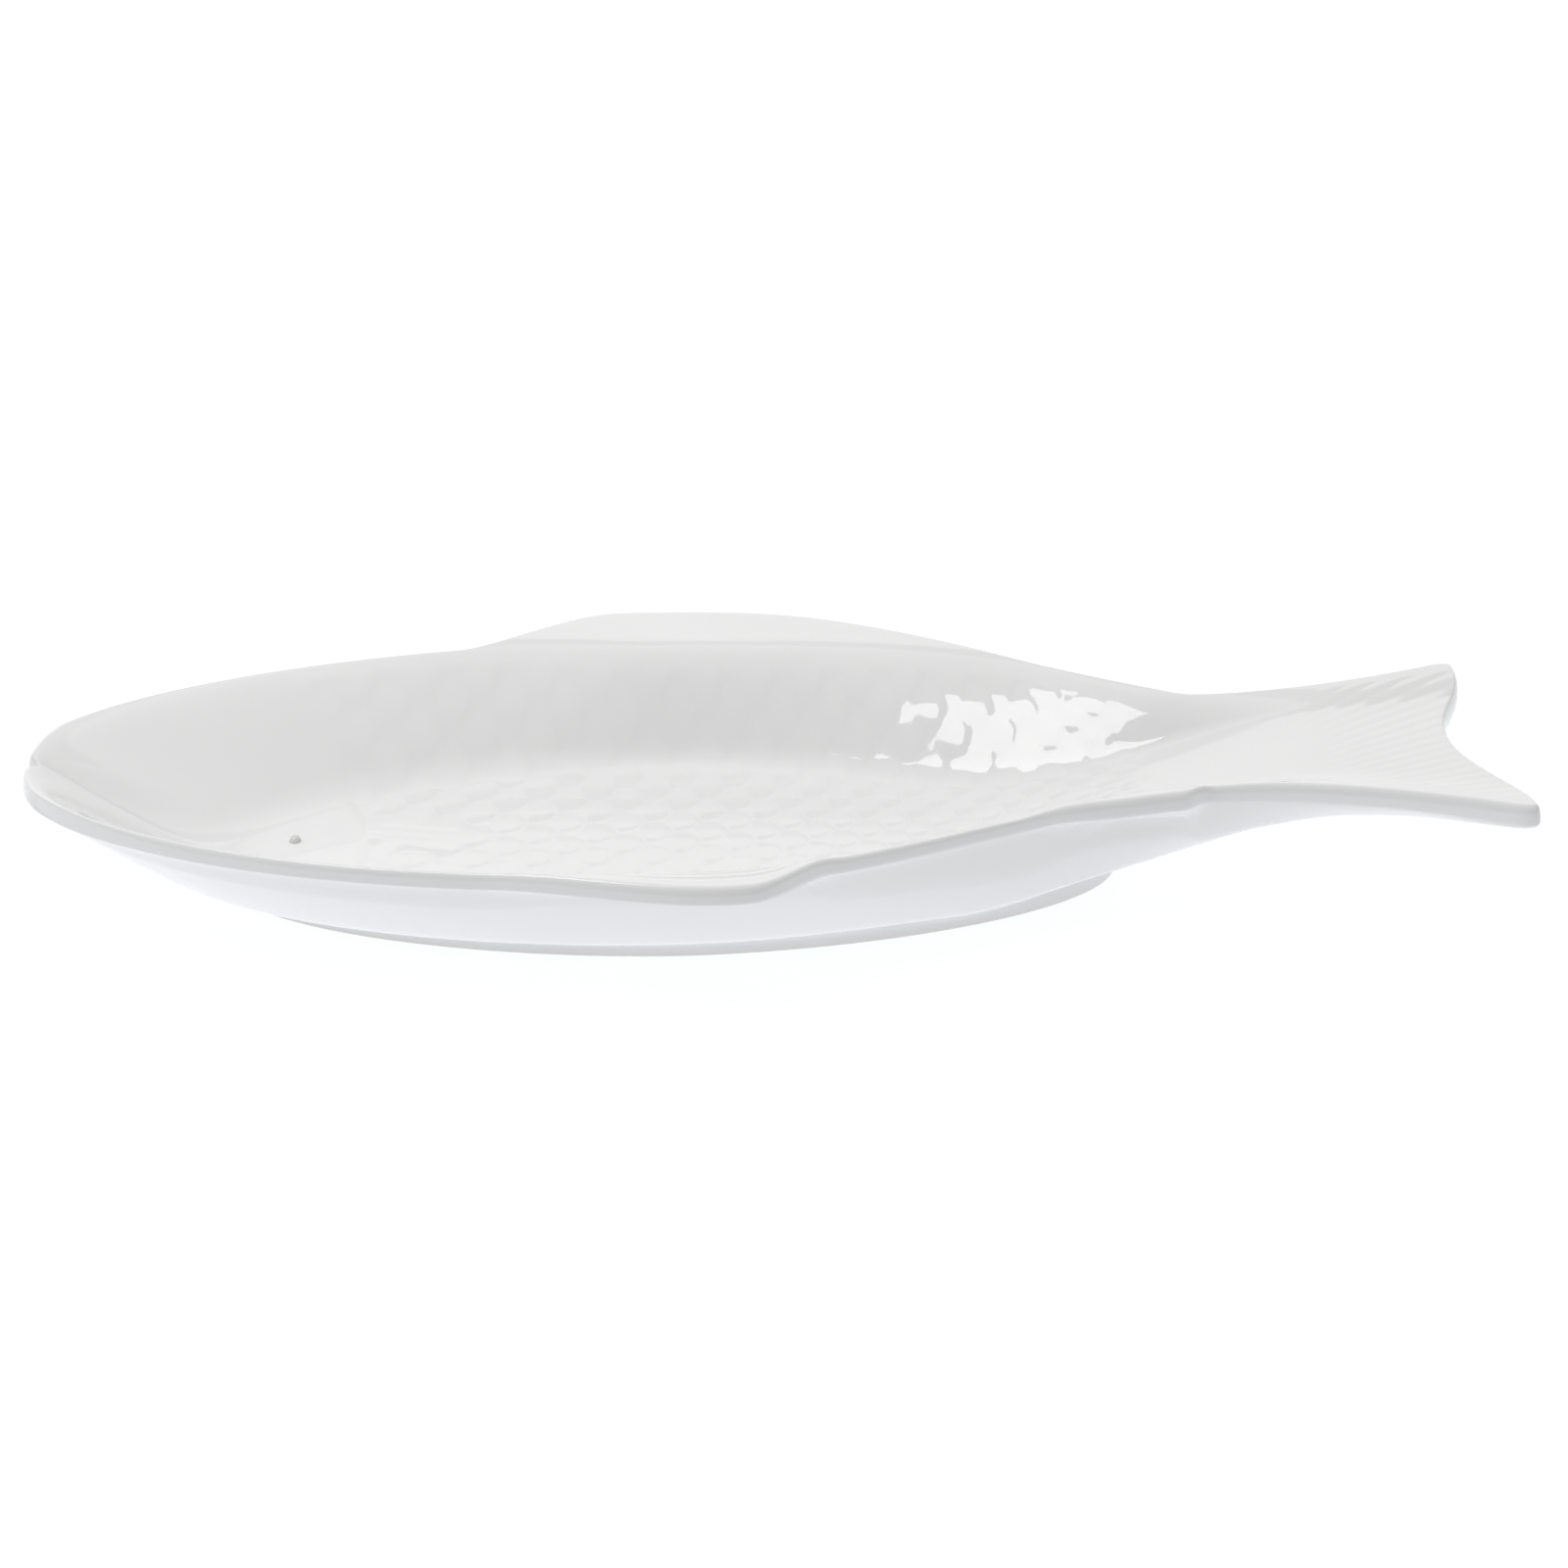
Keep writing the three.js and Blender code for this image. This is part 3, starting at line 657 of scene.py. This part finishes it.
bisque = new_finish(foot, "ground_foot")
place = bisque.node("ShaderNodeTexCoord", output="Object")
height = bisque.node("ShaderNodeSeparateXYZ", {}, {"Vector": place}, output="Z")
wander = bisque.node("ShaderNodeTexNoise", {}, {"Vector": place, "Scale": WANDER_SCALE, "Detail": 2.0})
grain = bisque.node("ShaderNodeTexNoise", {}, {"Vector": place, "Scale": GRAIN_SCALE, "Detail": 3.0})
bare = bisque.node(
    "ShaderNodeMapRange",
    {},
    {"Value": height + GROUND_WANDER * wander, 1: GROUND_TO, 2: GROUND_TO + GROUND_EDGE, 3: 1.0, 4: 0.0},
)
colour = bisque.node(
    "ShaderNodeMix",
    {"data_type": "RGBA"},
    {"Factor": bare, 6: GLAZE_WHITE, 7: GROUND_CLAY},
    output=2,
)
rough = {"Height": grain * bare, "Strength": 0.4, "Distance": GRAIN_HEIGHT}
skin = bisque.node("ShaderNodeBump", {}, rough)
shader = bisque.node(
    "ShaderNodeBsdfPrincipled",
    {},
    {"Base Color": colour, "Roughness": 0.08 + 0.5 * bare, "IOR": GLAZE_IOR, "Normal": skin},
)
bisque.node("ShaderNodeOutputMaterial", {}, {"Surface": shader})
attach(foot, "root")
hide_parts("foot_ring")

# The eye: a small round bead of the same clay, pressed onto the head before firing.
# A touch of grey glaze on it fuses with the clear glaze round it.
EYE = at(0.1755)
EYE_RISE = 0.0056
EYE_DIAMETER = 0.0028
EYE_HEIGHT = 0.0016
EYE_BED = 0.0001  # how deep the bead sits in the clay
EYE_SIDES, EYE_RINGS = 40, 24

bpy.ops.object.select_all(action="DESELECT")
bpy.ops.mesh.primitive_uv_sphere_add(segments=EYE_SIDES, ring_count=EYE_RINGS, radius=EYE_DIAMETER / 2)
eye = bpy.context.object
eye.name = "eye_dot"
bpy.ops.object.mode_set(mode="EDIT")
bpy.ops.mesh.select_all(action="SELECT")
bpy.ops.mesh.bisect(plane_co=(0, 0, 0), plane_no=(0, 0, 1), clear_inner=True, use_fill=True)
bpy.ops.object.mode_set(mode="OBJECT")
bead = vertex_places(eye)
floor_height = float(inner_face(np.array(EYE), np.array(EYE_RISE)))
eye_relief = float(relief(np.array(EYE), np.array(EYE_RISE), np.array(0.0), np.array(1.0))[0])
bead = bead * (1, 1, 2 * EYE_HEIGHT / EYE_DIAMETER)
bead = bead + (EYE - middle[0], EYE_RISE - middle[1], floor_height + eye_relief - EYE_BED)
move_vertices(eye, bead)
bpy.ops.object.shade_smooth()

MOTTLE_SCALE = 900.0
EYE_GREY = (0.60, 0.60, 0.59, 1)
EYE_PALE = (0.70, 0.70, 0.69, 1)

grey = new_finish(eye, "grey_glaze")
place = grey.node("ShaderNodeTexCoord", output="Object")
mottle = grey.node("ShaderNodeTexNoise", {}, {"Vector": place, "Scale": MOTTLE_SCALE, "Detail": 2.0})
colour = grey.node(
    "ShaderNodeMix",
    {"data_type": "RGBA"},
    {"Factor": mottle, 6: EYE_GREY, 7: EYE_PALE},
    output=2,
)
shader = grey.node(
    "ShaderNodeBsdfPrincipled",
    {},
    {"Base Color": colour, "Roughness": 0.06 + 0.08 * mottle, "IOR": GLAZE_IOR},
)
grey.node("ShaderNodeOutputMaterial", {}, {"Surface": shader})
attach(eye, "root")
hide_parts("eye_bead")

# The table: a broad sheet of opal acrylic, lit evenly from below as in a packshot studio.
# Its own light fills the outer wall and the foot, and the dish still leaves a faint shadow on it.
# From below it is clear, so that the underside of the dish can be looked at.
TABLE_GLOW = 0.75  # share of the sheet's look that is its own light
TABLE_LIGHT = (0.945, 0.972, 1, 1)
TABLE_WHITE = 1.18  # strength at which the sheet looks white
TABLE_SIZE = 30
ACRYLIC_WHITE = (0.9, 0.9, 0.9, 1)
LAMPS_UNDER, LAMPS_AWAY = 1.32, 0.1  # light that the sheet sends up, over its lamps and in front of them
LAMPS_FROM, LAMPS_FULL = -0.25, -0.17  # the lamps end in front of the dish
LAMPS_REACH, LAMPS_END = 0.26, 0.34  # and beside it

bpy.ops.object.select_all(action="DESELECT")
bpy.ops.mesh.primitive_plane_add(size=TABLE_SIZE)
table = bpy.context.object
table.name = "light_table"
acrylic = new_finish(table, "opal_acrylic")
place = acrylic.node("ShaderNodeTexCoord", output="Object")
depth = acrylic.node("ShaderNodeSeparateXYZ", {}, {"Vector": place}, output="Y")
beside = acrylic.node("ShaderNodeSeparateXYZ", {}, {"Vector": place}, output="X")
in_front = acrylic.node("ShaderNodeMapRange", {}, {"Value": depth, 1: LAMPS_FROM, 2: LAMPS_FULL})
limits = {"Value": beside * beside, 1: LAMPS_REACH**2, 2: LAMPS_END**2, 3: 1.0, 4: 0.0}
lamps = LAMPS_AWAY + (LAMPS_UNDER - LAMPS_AWAY) * in_front * acrylic.node("ShaderNodeMapRange", {}, limits)
seen = acrylic.node("ShaderNodeLightPath", output="Is Camera Ray")
for mirrored in ("Is Glossy Ray", "Is Transmission Ray"):
    seen = seen.maths("MAXIMUM", seen, acrylic.node("ShaderNodeLightPath", output=mirrored))
matt = acrylic.node("ShaderNodeBsdfDiffuse", {}, {"Color": ACRYLIC_WHITE})
light = lamps + seen * (TABLE_WHITE - lamps)
glow = acrylic.node("ShaderNodeEmission", {}, {"Color": TABLE_LIGHT, "Strength": light})
sheet = acrylic.node("ShaderNodeMixShader", {}, {0: TABLE_GLOW, 1: matt, 2: glow})
clear = acrylic.node("ShaderNodeBsdfTransparent")
below = acrylic.node("ShaderNodeNewGeometry", output="Backfacing")
sheet = acrylic.node("ShaderNodeMixShader", {}, {0: below, 1: sheet, 2: clear})
acrylic.node("ShaderNodeOutputMaterial", {}, {"Surface": sheet})

# The studio: a bright backdrop, a dark gap over it, a white ceiling and a dark room behind the camera.
# The glaze mirrors these bands, and that is what draws the bend of the floor and the scales.
BACKDROP, GAP, CEILING, FRONT, ROOM = 1.0, 0.4, 1.0, 0.64, 0.05
SIDE_DARK = 0.85  # how much of the light is missing low down at both sides
SIDE_LIMITS = 0.25, 0.8  # sideways part of a direction, squared, where that starts and is complete
LOW_LIMITS = 0.45, 0.1  # and its upward part
# Where one band goes over into the next, in degrees from the table's far edge up and over the ceiling.
GAP_EDGE = 30, 32
CEILING_EDGE = 44, 47
FRONT_EDGE = 105, 120
ROOM_EDGE = 140, 160
SHINE_PLACE = (-0.46, -0.24, 0.86)
SHINE_SIZE = (0.46, 0.35)
SHINE_BRIGHTNESS = 5.0
LAMP_WHITE = (1, 0.998, 0.996, 1)

world = bpy.data.worlds.new("white_studio")
bpy.context.scene.world = world
studio = Finish(world)
direction = studio.node("ShaderNodeTexCoord", output="Generated")
to_back = studio.node("ShaderNodeSeparateXYZ", {}, {"Vector": direction}, output="Y")
upwards = studio.node("ShaderNodeSeparateXYZ", {}, {"Vector": direction}, output="Z")
climb = studio.node("ShaderNodeMath", {"operation": "ARCTAN2"}, {0: upwards, 1: to_back})


def past(low, high):
    """0 up to the first angle over the table's far edge, 1 from the second one on."""
    limits = {"Value": climb, 1: math.radians(low), 2: math.radians(high)}
    return studio.node("ShaderNodeMapRange", {"interpolation_type": "SMOOTHSTEP"}, limits)


strength = BACKDROP + (GAP - BACKDROP) * past(*GAP_EDGE) + (CEILING - GAP) * past(*CEILING_EDGE)
strength = strength + (FRONT - CEILING) * past(*FRONT_EDGE) + (ROOM - FRONT) * past(*ROOM_EDGE)
sideways = studio.node("ShaderNodeSeparateXYZ", {}, {"Vector": direction}, output="X")
side_from, side_full = SIDE_LIMITS
at_side = studio.node("ShaderNodeMapRange", {}, {"Value": sideways * sideways, 1: side_from, 2: side_full})
low_from, low_full = LOW_LIMITS
low_down = {"Value": upwards, 1: low_full, 2: low_from, 3: 1.0, 4: 0.0}
low_down = studio.node("ShaderNodeMapRange", {}, low_down)
strength = strength * (1 - SIDE_DARK * at_side * low_down)
surround = studio.node("ShaderNodeBackground", {}, {"Color": LAMP_WHITE, "Strength": strength})
studio.node("ShaderNodeOutputWorld", {}, {"Surface": surround})


def softbox(name, place, size, brightness):
    """A softbox of that size, turned to the dish. Brightness 1 is as bright as white paper."""
    lamp = bpy.data.lights.new(name, "AREA")
    lamp.shape = "RECTANGLE"
    lamp.size, lamp.size_y = size
    lamp.energy = math.pi * brightness * size[0] * size[1]
    holder = bpy.data.objects.new(name, lamp)
    holder.location = place
    holder.rotation_euler = Vector(place).to_track_quat("Z", "Y").to_euler()
    holder.visible_camera = False
    bpy.context.scene.collection.objects.link(holder)


softbox("shine_softbox", SHINE_PLACE, SHINE_SIZE, SHINE_BRIGHTNESS)

# The camera: a long lens in front of the belly side, looking down on the dish at a low angle.
# Its place was found from the body line, the back fin and the foot, which agree only from here.
VIEW_AZIMUTH = math.radians(-3)
VIEW_ELEVATION = math.radians(24)
VIEW_DISTANCE = 0.78
VIEW_TARGET = Vector((0.00389, 0.0027, 0.0204))
SENSOR = 36
LENS = 76.07

lens = bpy.data.cameras.new("photo_camera")
lens.sensor_width = SENSOR
lens.lens = LENS
camera = bpy.data.objects.new("photo_camera", lens)
back = Vector(
    (
        math.sin(VIEW_AZIMUTH) * math.cos(VIEW_ELEVATION),
        -math.cos(VIEW_AZIMUTH) * math.cos(VIEW_ELEVATION),
        math.sin(VIEW_ELEVATION),
    )
)
camera.location = VIEW_TARGET + back * VIEW_DISTANCE
camera.rotation_euler = back.to_track_quat("Z", "Y").to_euler()
bpy.context.scene.collection.objects.link(camera)
bpy.context.scene.camera = camera
bpy.context.scene.view_settings.view_transform = "Standard"
